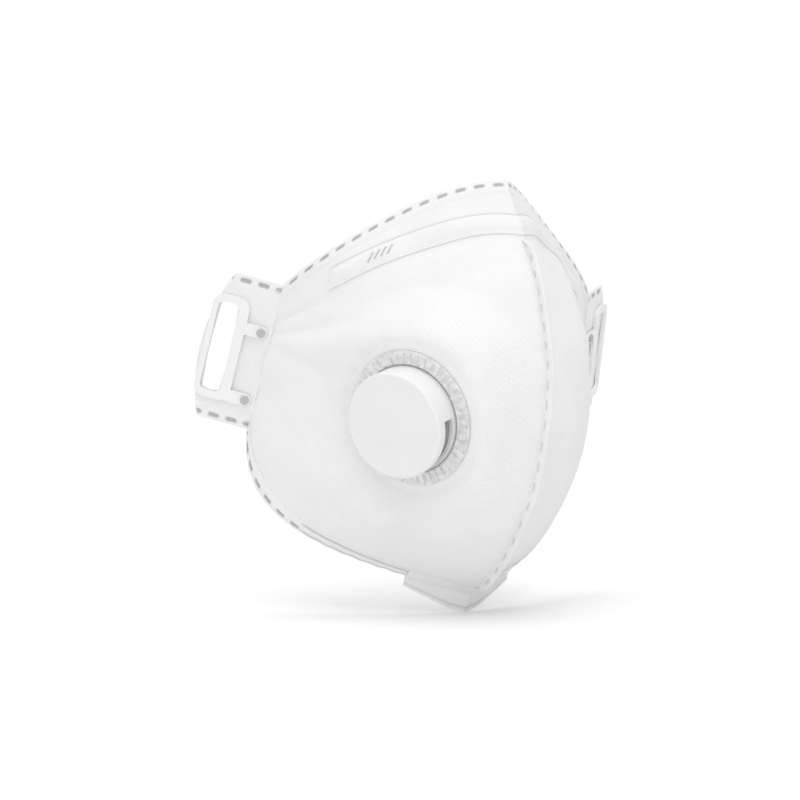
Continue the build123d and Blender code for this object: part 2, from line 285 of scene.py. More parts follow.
# ---- Finishes ------------------------------------------------------------------------------
@dataclass(frozen=True)
class NonwovenFinish:
    """Bonded fibre cloth, with bond points, loose fibres and pressed welds."""

    name: str
    level: float = 0.8
    mottle: float = 0.035
    warmth: float = -0.003
    bond_pitch: float = 1.6
    bond_depth: float = 0.07
    fibre_depth: float = 0.05
    weld_level: float = 0.42

    def make(self) -> bpy.types.Material:
        """Build the material. It reads the cloth's UV in millimetres and its weld attribute.

        Returns:
            The material.
        """
        bench = MaterialBench(self.name)
        cloth, place = bench.place("UV"), bench.place("Object")
        weld = bench.node("ShaderNodeAttribute", {"attribute_name": "weld"}, {}, "Fac")
        split = bench.node("ShaderNodeSeparateXYZ", {}, {0: cloth})
        across, along = split, Wire(bench, split.socket.node.outputs[1])
        turn = math.pi / self.bond_pitch
        dots = ((across + along) * turn).sine() * ((across - along) * turn).sine()
        bonds = (dots * dots).ramp(0.62, 0.95)
        cloud = bench.noise(place, 90.0, 5.0)
        drawn_down = bench.node("ShaderNodeMapping", {}, {0: place, 3: (1.0, 1.0, 3.2)})
        fibres = bench.noise(drawn_down, 1500.0, 4.0)
        drawn_across = bench.node("ShaderNodeMapping", {}, {0: place, 3: (3.0, 1.6, 1.0)})
        strands = bench.noise(drawn_across, 900.0, 6.0)
        tone = (cloud * 0.6 + fibres * 0.25 + strands * 0.15).ramp(0.3, 0.72)
        low, high = grey(self.level - self.mottle, self.warmth), grey(self.level, self.warmth)
        colour = bench.blend(tone, low, high)
        colour = bench.blend(bonds * 0.3, colour, grey(self.level - 2 * self.mottle, self.warmth))
        colour = bench.blend(weld, colour, grey(self.weld_level, self.warmth))
        bench.dress(Base_Color=colour, Roughness=0.92 - weld * 0.34)
        bench.shader.inputs["Sheen Weight"].default_value = 0.12
        bench.shader.inputs["Specular IOR Level"].default_value = 0.25
        loose = (1 - weld) * (fibres * 0.6 + strands * 0.4) * (self.fibre_depth / self.bond_depth)
        bench.bump(loose - bonds * (1 - weld), self.bond_depth * MM, 0.8)
        return bench.material


@dataclass(frozen=True)
class PlasticFinish:
    """Moulded white plastic with a fine satin grain."""

    name: str
    level: float = 0.84
    warmth: float = -0.002
    roughness: float = 0.42
    grain: float = 0.012

    def make(self) -> bpy.types.Material:
        """Build the material.

        Returns:
            The material.
        """
        bench = MaterialBench(self.name)
        place = bench.place("Object")
        flow = bench.noise(place, 70.0, 3.0)
        grain = bench.noise(place, 3200.0, 2.0)
        scuff = bench.noise(place, 420.0, 6.0).ramp(0.52, 0.75)
        low, high = grey(self.level - 0.02, self.warmth), grey(self.level, self.warmth)
        colour = bench.blend(flow.ramp(0.3, 0.7), low, high)
        bench.dress(Base_Color=colour, Roughness=self.roughness + scuff * 0.1 + grain * 0.05)
        bench.bump(grain + flow * 0.5, self.grain * MM, 0.7)
        return bench.material


@dataclass(frozen=True)
class PressedFinish:
    """Fibre pressed and half melted by a weld tool."""

    name: str
    level: float = 0.76

    def make(self) -> bpy.types.Material:
        """Build the material.

        Returns:
            The material.
        """
        bench = MaterialBench(self.name)
        place = bench.place("Object")
        melt = bench.noise(place, 600.0, 5.0)
        fibre = bench.noise(place, 2400.0, 3.0)
        colour = bench.blend(melt.ramp(0.35, 0.65), grey(self.level - 0.1), grey(self.level + 0.04))
        bench.dress(Base_Color=colour, Roughness=0.5 + melt * 0.3)
        bench.bump(melt * 0.6 + fibre * 0.4, 0.05 * MM, 0.8)
        return bench.material


@dataclass(frozen=True)
class FoamFinish:
    """Open-cell foam."""

    name: str
    level: float = 0.82
    cell: float = 0.9

    def make(self) -> bpy.types.Material:
        """Build the material.

        Returns:
            The material.
        """
        bench = MaterialBench(self.name)
        place = bench.place("Object")
        settings = {"feature": "SMOOTH_F1"}
        inputs = {"Vector": place, "Scale": 1 / (self.cell * MM)}
        cells = bench.node("ShaderNodeTexVoronoi", settings, inputs)
        pores = cells.ramp(0.05, 0.55)
        colour = bench.blend(pores, grey(self.level, 0.008), grey(self.level - 0.22, 0.008))
        bench.dress(Base_Color=colour, Roughness=0.95)
        bench.bump(1 - pores, 0.25 * MM, 0.9)
        return bench.material


@dataclass(frozen=True)
class SiliconeFinish:
    """Thin milky silicone. Its default level is dark grey: partly the silicone's own tint, partly painted
    shade inside the valve.
    """

    name: str
    level: float = 0.62

    def make(self) -> bpy.types.Material:
        """Build the material.

        Returns:
            The material.
        """
        bench = MaterialBench(self.name)
        bloom = bench.noise(bench.place("Object"), 300.0, 4.0)
        colour = bench.blend(bloom.ramp(0.3, 0.7), grey(self.level - 0.03), grey(self.level))
        bench.dress(Base_Color=colour, Roughness=0.3 + bloom * 0.2)
        bench.bump(bloom, 0.01 * MM, 0.5)
        return bench.material


# ---- The surface of a half -----------------------------------------------------------------
def smooth(t: np.ndarray) -> np.ndarray:
    """Smooth step of values from 0 to 1."""
    t = np.clip(t, 0, 1)
    return t * t * (3 - 2 * t)


def bernstein(degree: int, t: np.ndarray) -> np.ndarray:
    """Bernstein weights along a new last axis."""
    return np.stack([math.comb(degree, i) * t**i * (1 - t) ** (degree - i) for i in range(degree + 1)], -1)


def unit(vector: np.ndarray) -> np.ndarray:
    """Vectors scaled to length 1 along the last axis."""
    return vector / np.linalg.norm(vector, axis=-1, keepdims=True)


@dataclass(frozen=True)
class HalfShape:
    """The right half's outer face as a filled-out patch, in millimetres, as the CAD has it.

    u runs from the centre seam to the ear's root, and v from the chin to the nose.
    """

    seam: tuple = ((0, -11, -67), (0, -39, -57), (0, -66, -15), (0, -60, 23), (0, -43, 40), (0, -29, 68))
    top: tuple = ((0, -29, 68), (-16, -14, 69), (-30, -5, 55), (-50, -1, 47), (-61, 8, 33))
    lower: tuple = ((0, -11, -67), (-22, -6, -61), (-50, 10, -53), (-66, 29, -43), (-66, 22, -14))
    outward: tuple = (-0.75, -0.66, 0.0)
    fullness_to_ear: tuple = (24.0, 5.0, -6.0)
    fullness_to_nose: tuple = (0.45, 1.0, 1.0, 0.45)
    valve_uv: tuple = (0.365, 0.425)
    valve_azimuth: float = 64.0
    valve_tilt: float = -13.0
    flat_radius: float = 22.5
    blend_radius: float = 40.0
    clear_of_seam: float = 0.14
    hang: tuple = (0.0, 0.28735, -0.95783)

    def net(self) -> np.ndarray:
        """Control points, with the four edges blended across and then filled out.

        Returns:
            The control points, from seam to ear and from chin to nose.
        """
        seam, top, lower = (np.array(points, float) for points in (self.seam, self.top, self.lower))
        u = np.linspace(0, 1, len(top))[:, None, None]
        v = np.linspace(0, 1, len(seam))[None, :, None]
        ear = lower[-1] * (1 - v) + top[-1] * v
        across = (1 - u) * seam[None] + u * ear
        along = (1 - v) * lower[:, None] + v * top[:, None]
        corners = (1 - u) * (seam[0] * (1 - v) + seam[-1] * v) + u * ear
        net = across + along - corners
        fullness = np.outer(self.fullness_to_ear, self.fullness_to_nose)[..., None]
        net[1:-1, 1:-1] += fullness * np.array(self.outward)
        return net

    def valve_frame(self) -> tuple[np.ndarray, np.ndarray]:
        """The valve's centre on the face, and its axis.

        Returns:
            The centre in millimetres and the unit axis.
        """
        turn, tilt = math.radians(self.valve_azimuth), math.radians(self.valve_tilt)
        axis = (-math.sin(turn) * math.cos(tilt), -math.cos(turn) * math.cos(tilt), math.sin(tilt))
        return self.full(*(np.array(t) for t in self.valve_uv)), np.array(axis)

    def full(self, u: np.ndarray, v: np.ndarray) -> np.ndarray:
        """Points of the face before the valve flattens it.

        Args:
            u: Place from the centre seam, 0, to the ear's root, 1.
            v: Place from the chin, 0, to the nose, 1.

        Returns:
            The points in millimetres.
        """
        net = self.net()
        across, along = bernstein(len(net) - 1, u), bernstein(len(net[0]) - 1, v)
        return np.einsum("...i,...j,ijk->...k", across, along, net)

    def from_valve(self, points: np.ndarray) -> tuple[np.ndarray, np.ndarray]:
        """Height above the valve's plane and distance from its axis.

        Args:
            points: Points in millimetres.

        Returns:
            The heights and the distances, in millimetres.
        """
        centre, axis = self.valve_frame()
        height = (points - centre) @ axis
        return height, np.linalg.norm(points - centre - height[..., None] * axis, axis=-1)

    def face(self, u: np.ndarray, v: np.ndarray, valved: bool) -> np.ndarray:
        """Points of the face, flat round the valve on the side that has it. Below v = 0 it hangs.

        Args:
            u: Place from the centre seam, 0, to the ear's root, 1.
            v: Place from the chin, 0, to the nose, 1.
            valved: Whether the side carries the valve.

        Returns:
            The points in millimetres.
        """
        points = self.full(u, np.maximum(v, 0))
        if np.any(v < 0):
            points = points + (np.maximum(-v, 0) * self.rise(u))[..., None] * np.array(self.hang)
        if not valved:
            return points
        height, radius = self.from_valve(points)
        hold = smooth((self.blend_radius - radius) / (self.blend_radius - self.flat_radius))
        hold = hold * smooth(u / self.clear_of_seam)
        return points - (height * hold)[..., None] * self.valve_frame()[1]

    def normal(self, u: np.ndarray, v: np.ndarray, valved: bool) -> np.ndarray:
        """Outward normals, turned into the fold plane at the seam.

        Args:
            u: Place from the centre seam, 0, to the ear's root, 1.
            v: Place from the chin, 0, to the nose, 1.
            valved: Whether the side carries the valve.

        Returns:
            The unit normals.
        """
        step = 0.004
        ahead = self.face(u + step, v, valved) - self.face(u - step, v, valved)
        upward = self.face(u, v + step, valved) - self.face(u, v - step, valved)
        normal = unit(np.cross(ahead, upward))
        normal = normal * np.where(normal @ np.array(self.outward) < 0, -1, 1)[..., None]
        normal[..., 0] *= smooth(u / 0.2)
        return unit(normal)

    def rise(self, u: np.ndarray) -> np.ndarray:
        """Length from the lower rim to the top rim at each u.

        Args:
            u: Place from the centre seam, 0, to the ear's root, 1.

        Returns:
            The lengths in millimetres.
        """
        v = np.linspace(0, 1, 25)
        points = self.full(*np.broadcast_arrays(np.asarray(u, float)[..., None], v))
        return np.linalg.norm(np.diff(points, axis=-2), axis=-1).sum(-1)

    def reach(self, v: np.ndarray) -> np.ndarray:
        """Length from the seam to the ear's root at each v.

        Args:
            v: Place from the chin, 0, to the nose, 1.

        Returns:
            The lengths in millimetres.
        """
        u = np.linspace(0, 1, 25)
        points = self.full(*np.broadcast_arrays(u, np.asarray(v, float)[..., None]))
        return np.linalg.norm(np.diff(points, axis=-2), axis=-1).sum(-1)


SHAPE = HalfShape()


# ---- Mesh helpers --------------------------------------------------------------------------
def select_only(piece: bpy.types.Object) -> None:
    """Make a piece the only selected and the active object.

    Args:
        piece: The piece.
    """
    bpy.ops.object.select_all(action="DESELECT")
    piece.select_set(True)
    bpy.context.view_layer.objects.active = piece


def apply_modifier(piece: bpy.types.Object, kind: str, **settings: object) -> None:
    """Add a modifier to a piece and apply it.

    Args:
        piece: The piece.
        kind: The modifier's type.
        settings: The modifier's own settings.
    """
    modifier = piece.modifiers.new(kind.title(), kind)
    for key, value in settings.items():
        setattr(modifier, key, value)
    select_only(piece)
    bpy.ops.object.modifier_apply(modifier=modifier.name)


@dataclass
class ClothPatch:
    """A sheet that is shaped from a flat grid, then given its thickness.

    Attributes:
        name: The piece's name.
        columns: Grid faces across.
        rows: Grid faces along.
        shape: Gives points and normals in millimetres, for u and v from 0 to 1.
        thickness: Thickness in millimetres.
        pinch: Gives the share of the thickness that is left at u and v.
        weld: Gives how far the cloth is pressed at u and v, from 0 to 1.
        cloth: Gives cloth coordinates in millimetres at u and v.
        keep: Tells which points are cloth; without it all are.
        closed: Whether the sheet's two ends meet and are joined.
    """

    name: str
    columns: int
    rows: int
    shape: Callable[[np.ndarray, np.ndarray], tuple[np.ndarray, np.ndarray]]
    thickness: float
    cloth: Callable[[np.ndarray, np.ndarray], np.ndarray]
    pinch: Callable[[np.ndarray, np.ndarray], np.ndarray] | None = None
    weld: Callable[[np.ndarray, np.ndarray], np.ndarray] | None = None
    keep: Callable[[np.ndarray], np.ndarray] | None = None
    closed: bool = False

    def build(self, side: Side) -> bpy.types.Object:
        """Build the piece on a side.

        Args:
            side: The side of the mask; the left is the mirror of the right.

        Returns:
            The closed mesh, at the origin, with its place in its vertices.
        """
        bpy.ops.object.select_all(action="DESELECT")
        bpy.ops.mesh.primitive_grid_add(x_subdivisions=self.columns, y_subdivisions=self.rows, size=2)
        piece = bpy.context.object
        piece.name = piece.data.name = self.name
        flat = np.array([v.co[:2] for v in piece.data.vertices]) / 2 + 0.5
        u, v = flat[:, 0], flat[:, 1]
        points, normals = self.shape(u, v)
        mirror = np.array([-side.value, 1, 1])
        points, normals = points * mirror, normals * mirror
        self._paint(piece, u, v)
        piece.data.vertices.foreach_set("co", (points * MM).ravel())
        piece.data.update()
        self._trim(piece, points * mirror)
        self._join_ends(piece)
        self._face_out(piece, normals.mean(0))
        self._thicken(piece)
        return piece

    def _paint(self, piece: bpy.types.Object, u: np.ndarray, v: np.ndarray) -> None:
        """Store the cloth coordinates and the weld mask.

        Args:
            piece: The piece.
            u: Place from the centre seam, 0, to the ear's root, 1.
            v: Place from the chin, 0, to the nose, 1.
        """
        cloth = self.cloth(u, v)
        layer = piece.data.uv_layers.active
        corners = np.array([loop.vertex_index for loop in piece.data.loops])
        layer.data.foreach_set("uv", cloth[corners].ravel())
        weld = np.zeros(len(u)) if self.weld is None else self.weld(u, v)
        attribute = piece.data.attributes.new("weld", "FLOAT", "POINT")
        attribute.data.foreach_set("value", weld.astype(np.float32))
        group = piece.vertex_groups.new(name="thickness")
        pressed = np.ones(len(u)) if self.pinch is None else self.pinch(u, v)
        for index, share in enumerate(pressed):
            group.add([index], float(share), "REPLACE")

    def _trim(self, piece: bpy.types.Object, points: np.ndarray) -> None:
        """Delete the vertices that keep says aren't cloth.

        Args:
            piece: The piece.
            points: Points in millimetres.
        """
        if self.keep is None:
            return
        kept = self.keep(points)
        select_only(piece)
        bpy.ops.object.mode_set(mode="EDIT")
        bpy.ops.mesh.select_all(action="DESELECT")
        bpy.ops.object.mode_set(mode="OBJECT")
        for vertex, stays in zip(piece.data.vertices, kept):
            vertex.select = not stays
        bpy.ops.object.mode_set(mode="EDIT")
        bpy.ops.mesh.delete(type="VERT")
        bpy.ops.object.mode_set(mode="OBJECT")

    def _join_ends(self, piece: bpy.types.Object) -> None:
        """Join the sheet's ends into a loop, if they meet.

        Args:
            piece: The piece.
        """
        if not self.closed:
            return
        select_only(piece)
        bpy.ops.object.mode_set(mode="EDIT")
        bpy.ops.mesh.select_all(action="SELECT")
        bpy.ops.mesh.remove_doubles(threshold=0.000005)
        bpy.ops.object.mode_set(mode="OBJECT")

    def _face_out(self, piece: bpy.types.Object, outward: np.ndarray) -> None:
        """Turn the grid's faces the same way as the mean normal.

        Args:
            piece: The piece.
            outward: The mean outward normal.
        """
        total = sum((face.normal * face.area for face in piece.data.polygons), Vector())
        if total.dot(Vector(outward)) < 0:
            select_only(piece)
            bpy.ops.object.mode_set(mode="EDIT")
            bpy.ops.mesh.select_all(action="SELECT")
            bpy.ops.mesh.flip_normals()
            bpy.ops.object.mode_set(mode="OBJECT")

    def _thicken(self, piece: bpy.types.Object) -> None:
        """Give the sheet its thickness, inwards.

        Args:
            piece: The piece.
        """
        apply_modifier(
            piece,
            "SOLIDIFY",
            thickness=self.thickness * MM,
            offset=-1.0,
            vertex_group="thickness",
            thickness_vertex_group=0.05,
        )
        piece.vertex_groups.clear()
        select_only(piece)
        bpy.ops.object.shade_smooth_by_angle(angle=math.radians(50))


def finish_piece(
    piece: bpy.types.Object, material: bpy.types.Material, slot: str, *nodes: str
) -> bpy.types.Object:
    """Dress a piece and hide the CAD nodes that it replaces.

    Args:
        piece: The mesh.
        material: Its material.
        slot: Not used.
        nodes: The CAD nodes that it replaces.

    Returns:
        The same piece.
    """
    piece.data.materials.clear()
    piece.data.materials.append(material)
    if nodes:
        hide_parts(*nodes)
    LOG.info("%s: %d faces", piece.name, len(piece.data.polygons))
    return piece


# ---- Welds, creases and folds --------------------------------------------------------------
@dataclass(frozen=True)
class DashRow:
    """A row of short pressed welds along a rim."""

    pitch: float = 6.1
    length: float = 3.4
    width: float = 1.15
    inset: float = 1.7

    def mask(self, along: np.ndarray, from_edge: np.ndarray) -> np.ndarray:
        """How far the cloth is pressed.

        Args:
            along: Distance along the rim in millimetres.
            from_edge: Distance from the rim in millimetres.

        Returns:
            1 in a dash, falling to 0 at its edge.
        """
        beyond = np.abs((along % self.pitch) - self.pitch / 2) - (self.length - self.width) / 2
        distance = np.hypot(np.maximum(beyond, 0), from_edge - self.inset)
        return smooth((self.width * 0.75 - distance) / (self.width * 0.4))


@dataclass(frozen=True)
class Crease:
    """A soft fold across a half, from one (u, v) to another. Depth is negative in a valley."""

    start: tuple[float, float]
    end: tuple[float, float]
    depth: float
    width: float

    def height(self, u: np.ndarray, v: np.ndarray) -> np.ndarray:
        """Height of the fold in millimetres at u and v.

        Args:
            u: Place from the centre seam, 0, to the ear's root, 1.
            v: Place from the chin, 0, to the nose, 1.

        Returns:
            The heights in millimetres.
        """
        scale = np.array([95.0, 125.0])
        start, end = np.array(self.start) * scale, np.array(self.end) * scale
        at = np.stack([u, v], -1) * scale
        along = np.clip((at - start) @ (end - start) / ((end - start) @ (end - start)), 0, 1)
        distance = np.linalg.norm(at - start - along[..., None] * (end - start), axis=-1)
        taper = np.sin(np.pi * np.clip(along * 0.9 + 0.05, 0, 1)) ** 0.5
        return self.depth * taper * np.exp(-((distance / self.width) ** 2))


@dataclass
class FabricHalf:
    """One half of the folded cloth: four layers and two welded hems."""

    side: Side
    cover: bpy.types.Material
    lining: bpy.types.Material
    fleece: bpy.types.Material
    web: bpy.types.Material
    layers: dict = field(
        default_factory=lambda: {
            "outer_cover": (0.0, 0.5),
            "support_layer": (-0.65, 0.7),
            "filter_layer": (-1.5, 0.6),
            "inner_lining": (-2.25, 0.4),
        }
    )
    hem_width: float = 5.0
    bend_start: float = 9.0
    bend_end: float = 43.0
    hole_radius: float = 16.2
    pressed_share: float = 0.45
    dashes: DashRow = DashRow()
    creases: tuple = (
        Crease((0.02, 0.60), (0.92, 0.62), 0.9, 7.0),
        Crease((0.60, 0.70), (0.99, 0.66), -0.7, 3.0),
        Crease((0.66, 0.50), (0.99, 0.60), -0.5, 3.5),
        Crease((0.72, 0.80), (0.99, 0.74), -0.6, 2.5),
        Crease((0.10, 0.84), (0.50, 0.90), -0.5, 3.5),
        Crease((0.20, 0.10), (0.62, 0.13), -0.6, 4.0),
        Crease((0.62, 0.16), (0.80, 0.40), 0.5, 5.0),
        Crease((0.06, 0.22), (0.10, 0.52), -0.5, 3.5),
        Crease((0.30, 0.16), (0.16, 0.34), -0.4, 5.0),
    )

    @property
    def body(self) -> str:
        """The name of this half's body."""
        return f"{self.side.word}_half"

    def bend(self, piece: bpy.types.Object) -> None:
        """Bake the piece's transform into its mesh. The bend's start and end are worked out but not used.

        Args:
            piece: The piece.
        """
        toward = np.array([self.side.value, -0.6, 0.0])
        toward = toward / np.linalg.norm(toward)
        start, end = toward * self.bend_start * MM, toward * self.bend_end * MM
        self.body
        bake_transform(piece)

    def waves(self, u: np.ndarray, v: np.ndarray) -> np.ndarray:
        """Slow unevenness of the handled cloth, in millimetres.

        Args:
            u: Place from the centre seam, 0, to the ear's root, 1.
            v: Place from the chin, 0, to the nose, 1.

        Returns:
            The heights in millimetres.
        """
        rng = np.random.default_rng(7 if self.side.valved else 11)
        total = np.zeros_like(u)
        for _ in range(9):
            fx, fy = rng.uniform(-3.2, 3.2, 2)
            height = rng.uniform(0.08, 0.24)
            phase = rng.uniform(0, 2 * np.pi)
            total += height * np.sin(2 * np.pi * (fx * u + fy * v) + phase)
        return total

    def relief(self, u: np.ndarray, v: np.ndarray) -> np.ndarray:
        """Height of folds and waves, calm at the rims, the seam and the valve.

        Args:
            u: Place from the centre seam, 0, to the ear's root, 1.
            v: Place from the chin, 0, to the nose, 1.

        Returns:
            The heights in millimetres.
        """
        height = self.waves(u, v) + sum(crease.height(u, v) for crease in self.creases)
        edge = np.minimum(np.minimum(v, 1 - v) * SHAPE.rise(u), u * 60) / 9
        calm = smooth(edge)
        if self.side.valved:
            _, radius = SHAPE.from_valve(SHAPE.full(u, v))
            centre = SHAPE.face(u, v, True)
            calm = calm * smooth((radius - 21.9) / 8)
            swirl = np.arctan2(centre[..., 2] + 8, centre[..., 1] + 27)
            ring = np.exp(-(((radius - 26) / 3.0) ** 2))
            height = height + 0.22 * ring * np.sin(swirl * 17)
            height = height * calm - 0.4 * np.exp(-(((radius - 24.2) / 1.6) ** 2))
            return height
        return height * calm

    def squeeze(self, u: np.ndarray, v: np.ndarray) -> np.ndarray:
        """Share of the laminate's thickness that is left near the welded rims.

        Args:
            u: Place from the centre seam, 0, to the ear's root, 1.
            v: Place from the chin, 0, to the nose, 1.

        Returns:
            The shares, up to 1.
        """
        from_rim = np.minimum(v, 1 - v) * SHAPE.rise(u)
        from_root = (1 - u) * SHAPE.reach(v)
        open_share = smooth(np.minimum(from_rim, from_root) / self.hem_width)
        return self.pressed_share + (1 - self.pressed_share) * open_share

    def sheet(self, u: np.ndarray, v: np.ndarray, top: float) -> tuple[np.ndarray, np.ndarray]:
        """Points and normals of a layer whose upper face is at a height.

        Args:
            u: Place from the centre seam, 0, to the ear's root, 1.
            v: Place from the chin, 0, to the nose, 1.
            top: Height of the layer's upper face, in millimetres.

        Returns:
            The points in millimetres and their outward normals.
        """
        normal = SHAPE.normal(u, v, self.side.valved)
        height = self.relief(u, v) + top * self.squeeze(u, v)
        return SHAPE.face(u, v, self.side.valved) + normal * height[..., None], normal

    def cloth_place(self, u: np.ndarray, v: np.ndarray) -> np.ndarray:
        """Cloth coordinates in millimetres."""
        return np.stack([u * 100.0, v * 130.0], -1)

    def outside_hole(self, points: np.ndarray) -> np.ndarray:
        """Whether points are clear of the hole for the valve's collar."""
        height, radius = SHAPE.from_valve(points)
        return (radius > self.hole_radius) | (np.abs(height) > 15)

    def build_layer(self, name: str, material: bpy.types.Material, slot: str, fine: int) -> None:
        """Build one layer of the laminate.

        Args:
            name: The layer's node name, without its side.
            material: Its material.
            slot: A slot name, passed on to finish_piece.
            fine: Grid faces from the seam to the ear.
        """
        top, thickness = self.layers[name]
        patch = ClothPatch(
            name=f"{name}_{self.side.word}_cloth",
            columns=fine,
            rows=int(fine * 1.35),
            shape=lambda u, v: self.sheet(u, v, top),
            thickness=thickness,
            cloth=self.cloth_place,
            pinch=self.squeeze,
            keep=self.outside_hole if self.side.valved else None,
        )
        piece = finish_piece(patch.build(self.side), material, slot, f"{name}_{self.side.word}")
        self.bend(piece)

    def hem_place(self, lower: bool, start: float, stop: float) -> Callable:
        """The mapping of a hem's own grid to the half.

        Args:
            lower: Whether it is the lower hem.
            start: u at its start.
            stop: u at its end.

        Returns:
            A function of the hem's u and v that gives the half's u and v and the distance from the rim.
        """

        def place(s: np.ndarray, t: np.ndarray) -> tuple[np.ndarray, np.ndarray, np.ndarray]:
            """The half's u and v, and the distance from the rim.

            Args:
                s: Place along the piece's own grid, from 0 to 1.
                t: Place across the piece's own grid, from 0 to 1.

            Returns:
                The half's u and v, and the distance in millimetres.
            """
            u = start + (stop - start) * s
            from_rim = t * self.hem_width
            share = from_rim / SHAPE.rise(u)
            return u, (share if lower else 1 - share), from_rim

        return place

    def build_hem(self, lower: bool) -> None:
        """Build the welded hem along one rim.

        Args:
            lower: Whether it is the lower hem.
        """
        start, stop = (0.225, 0.985) if lower else (0.0, 0.985)
        place = self.hem_place(lower, start, stop)
        rim_v = 0.0 if lower else 1.0
        rim = SHAPE.face(np.linspace(start, stop, 200), np.full(200, rim_v), self.side.valved)
        travelled = np.concatenate([[0], np.cumsum(np.linalg.norm(np.diff(rim, axis=0), axis=1))])

        def along(s: np.ndarray) -> np.ndarray:
            """Distance along the rim."""
            return np.interp(s, np.linspace(0, 1, 200), travelled)

        def press(s: np.ndarray, t: np.ndarray) -> np.ndarray:
            """How far the hem is pressed: dashes, or two grooves under the chin.

            Args:
                s: Place along the piece's own grid, from 0 to 1.
                t: Place across the piece's own grid, from 0 to 1.

            Returns:
                1 where it is fully pressed, 0 where it isn't.
            """
            u, _, from_rim = place(s, t)
            dashes = self.dashes.mask(along(s), from_rim)
            if not lower:
                return dashes
            line = np.minimum(np.abs(from_rim - 1.2), np.abs(from_rim - 3.9))
            grooves = 0.75 * smooth((0.6 - line) / 0.5)
            jaw = smooth((u - 0.56) / 0.04)
            return dashes * jaw + grooves * (1 - jaw)

        def shape(s: np.ndarray, t: np.ndarray) -> tuple[np.ndarray, np.ndarray]:
            """Points and normals of the hem's outer face.

            Args:
                s: Place along the piece's own grid, from 0 to 1.
                t: Place across the piece's own grid, from 0 to 1.

            Returns:
                The points in millimetres and their outward normals.
            """
            u, v, from_rim = place(s, t)
            points, normal = self.sheet(u, v, 0.0)
            puff = 0.16 * np.cos(2 * np.pi * along(s) / self.dashes.pitch) * np.exp(-((from_rim / 3.2) ** 2))
            crown = 0.5 * np.sin(np.pi * np.clip(from_rim / self.hem_width, 0, 1)) ** 0.6
            step = 0.12 if lower else -0.03
            height = step + crown * (0.75 if lower else 0.6) - puff - 0.42 * press(s, t)
            return points + normal * np.maximum(height, 0.02)[..., None], normal

        def cloth(s: np.ndarray, t: np.ndarray) -> np.ndarray:
            """Cloth coordinates of the hem."""
            u, v, _ = place(s, t)
            return self.cloth_place(u, v)

        length = int(travelled[-1] / 0.42)
        name = "lower_hem" if lower else "top_hem"
        patch = ClothPatch(
            name=f"{name}_{self.side.word}_weld",
            columns=length,
            rows=16,
            shape=shape,
            thickness=0.3,
            cloth=cloth,
            weld=press,
        )
        piece = finish_piece(patch.build(self.side), self.cover, "spunbond_weld", f"{name}_{self.side.word}")
        on = [f"outer_cover_{self.side.word}_cloth"]
        self.bend(piece)

    def build(self) -> None:
        """Build every layer and hem of this half."""
        self.build_layer("outer_cover", self.cover, "spunbond_white", 132)
        self.build_layer("support_layer", self.fleece, "support_fleece", 60)
        self.build_layer("filter_layer", self.web, "filter_web", 60)
        self.build_layer("inner_lining", self.lining, "lining_soft", 90)
        self.build_hem(lower=False)
        self.build_hem(lower=True)


@dataclass
class CentreSeam:
    """The welded fin along the fold plane, between the nose clip and the chin tab."""

    material: bpy.types.Material
    proud: float = 2.9
    depth: float = 1.6
    thickness: float = 1.1
    start: float = 0.02
    stop: float = 0.862
    dashes: DashRow = DashRow(pitch=5.2, length=2.4, width=0.8, inset=1.6)

    def shape(self, s: np.ndarray, t: np.ndarray) -> tuple[np.ndarray, np.ndarray]:
        """Points of the fin's middle sheet, proud of the cover by an uneven amount.

        Args:
            s: Place along the piece's own grid, from 0 to 1.
            t: Place across the piece's own grid, from 0 to 1.

        Returns:
            The points in millimetres and their sideways normals.
        """
        v = self.start + (self.stop - self.start) * s
        zero = np.zeros_like(v)
        base, normal = SHAPE.face(zero, v, False), SHAPE.normal(zero, v, False)
        ends = smooth(np.minimum(s, 1 - s) / 0.05)
        edge = self.proud * ends * (0.93 + 0.05 * np.sin(s * 41) + 0.02 * np.sin(s * 97))
        height = -self.depth + t * (edge + self.depth)
        lean = 0.22 * np.sin(s * 23) * t + 0.1 * np.sin(s * 61 + 1) * t
        points = base + normal * height[..., None]
        points[..., 0] += lean + self.thickness / 2
        sideways = np.zeros_like(points)
        sideways[..., 0] = 1.0
        return points, sideways

    def press(self, s: np.ndarray, t: np.ndarray) -> np.ndarray:
        """The row of welds on the fin."""
        length = 130.0 * (self.stop - self.start) * s
        return self.dashes.mask(length, (1 - t) * (self.proud + self.depth)) * 0.45

    def pinch(self, s: np.ndarray, t: np.ndarray) -> np.ndarray:
        """Thin in each weld and at the fin's edge."""
        return (1 - 0.55 * self.press(s, t)) * (1 - 0.35 * smooth((t - 0.7) / 0.3))

    def build(self) -> bpy.types.Object:
        """Build the fin, which rides on the centre.

        Returns:
            The fin.
        """
        patch = ClothPatch(
            name="centre_seam_weld",
            columns=300,
            rows=12,
            shape=self.shape,
            thickness=self.thickness,
            cloth=lambda s, t: np.stack([t * 5.0, s * 130.0], -1),
            pinch=self.pinch,
            weld=self.press,
        )
        piece = finish_piece(patch.build(Side.RIGHT), self.material, "spunbond_weld", "centre_seam")
        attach(piece, "centre")
        return piece


